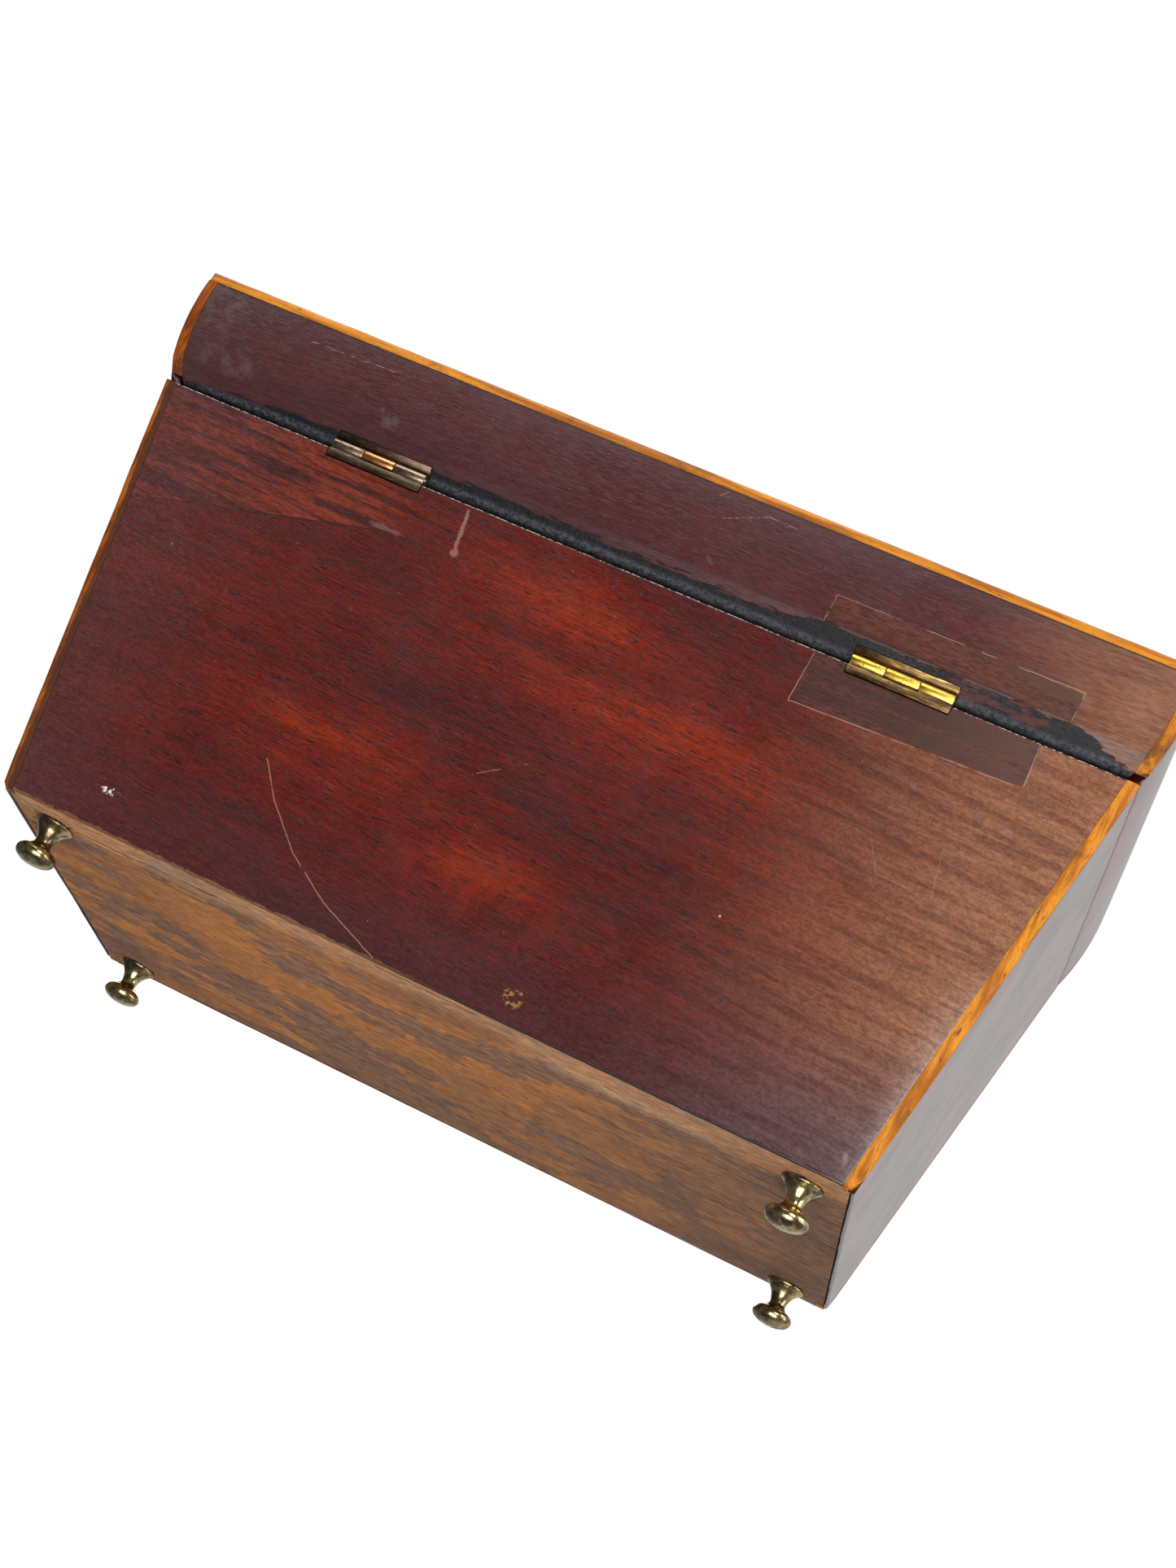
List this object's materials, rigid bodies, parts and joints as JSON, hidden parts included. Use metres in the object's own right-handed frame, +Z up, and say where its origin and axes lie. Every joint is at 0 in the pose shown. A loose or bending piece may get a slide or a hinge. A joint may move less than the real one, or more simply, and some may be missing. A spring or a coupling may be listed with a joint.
{
  "type": "tea caddy",
  "caption": "Flared sarcophagus tea caddy in mahogany with boxwood stringing, a hinged cushion lid, knob feet, lift-out tea covers and a glass mixing bowl.",
  "frame": {"origin": "centre of the bounding box at the height that the four feet stand on", "axes": "+Z up, +X to the right as seen from the front, +Y to the back; the keyhole is on the front, at -Y"},
  "size_m": [0.3088, 0.1656, 0.179],
  "materials": {
    "mahogany_veneer": "old French polish, worn",
    "lid_mahogany": "old French polish, worn",
    "carcase_wood": "planed, unpolished",
    "bare_wood": "bare, weathered",
    "boxwood": "polished, worn",
    "brass": "aged",
    "steel": "plain",
    "glass": "clear",
    "bone": "turned bone, polished",
    "lining_paper": "plain lining paper"
  },
  "bodies": {
    "carcase": {"bottom_board": "bare_wood", "front_board": "carcase_wood", "back_board": "carcase_wood", "left_end_board": "carcase_wood", "right_end_board": "carcase_wood", "front_veneer": "mahogany_veneer", "back_veneer": "mahogany_veneer", "left_end_veneer": "mahogany_veneer", "right_end_veneer": "mahogany_veneer", "body_strip_front_left": "boxwood", "body_strip_front_right": "boxwood", "body_strip_back_left": "boxwood", "body_strip_back_right": "boxwood", "foot_front_left": "brass", "foot_front_right": "brass", "foot_back_left": "brass", "foot_back_right": "brass", "left_partition": "carcase_wood", "right_partition": "carcase_wood", "left_cover_ledge": "carcase_wood", "right_cover_ledge": "carcase_wood", "bowl_board": "lid_mahogany", "lock_case": "brass", "keyhole_plate": "brass", "left_hinge_lower_leaf": "brass", "right_hinge_lower_leaf": "brass", "left_hinge_pin": "steel", "right_hinge_pin": "steel", "left_lower_screw_left": "brass", "left_lower_screw_right": "brass", "right_lower_screw_left": "brass", "right_lower_screw_right": "brass"},
    "lid": {"lid_front_rail": "lid_mahogany", "lid_back_rail": "lid_mahogany", "lid_left_rail": "lid_mahogany", "lid_right_rail": "lid_mahogany", "lid_top_panel": "lid_mahogany", "lid_lining": "lining_paper", "lid_strip_front_left": "boxwood", "lid_strip_front_right": "boxwood", "lid_strip_back_left": "boxwood", "lid_strip_back_right": "boxwood", "lid_top_strip_front": "boxwood", "lid_top_strip_back": "boxwood", "lid_top_strip_left": "boxwood", "lid_top_strip_right": "boxwood", "left_hinge_upper_leaf": "brass", "right_hinge_upper_leaf": "brass", "left_upper_screw_left": "brass", "left_upper_screw_right": "brass", "right_upper_screw_left": "brass", "right_upper_screw_right": "brass", "lock_link": "brass", "lock_staple": "brass"},
    "left_cover": {"left_canister_cover": "lid_mahogany", "left_cover_knob": "bone"},
    "right_cover": {"right_canister_cover": "lid_mahogany", "right_cover_knob": "bone"},
    "bowl": {"mixing_bowl": "glass"},
    "bolt": {"lock_bolt": "steel"}
  },
  "joints": [
    {"name": "lid_hinge", "type": "hinge", "parent": "carcase", "child": "lid", "pos_m": [0, 0.0769, 0.1442], "axis": [-1, 0, 0], "range_deg": [0, 95]},
    {"name": "left_cover_lift", "type": "slide", "parent": "carcase", "child": "left_cover", "axis": [0, 0, 1], "range_m": [0, 0.026]},
    {"name": "right_cover_lift", "type": "slide", "parent": "carcase", "child": "right_cover", "axis": [0, 0, 1], "range_m": [0, 0.026]},
    {"name": "bowl_lift", "type": "slide", "parent": "carcase", "child": "bowl", "axis": [0, 0, 1], "range_m": [0, 0.032]},
    {"name": "bolt_slide", "type": "slide", "parent": "carcase", "child": "bolt", "axis": [1, 0, 0], "range_m": [0, 0.005]}
  ]
}
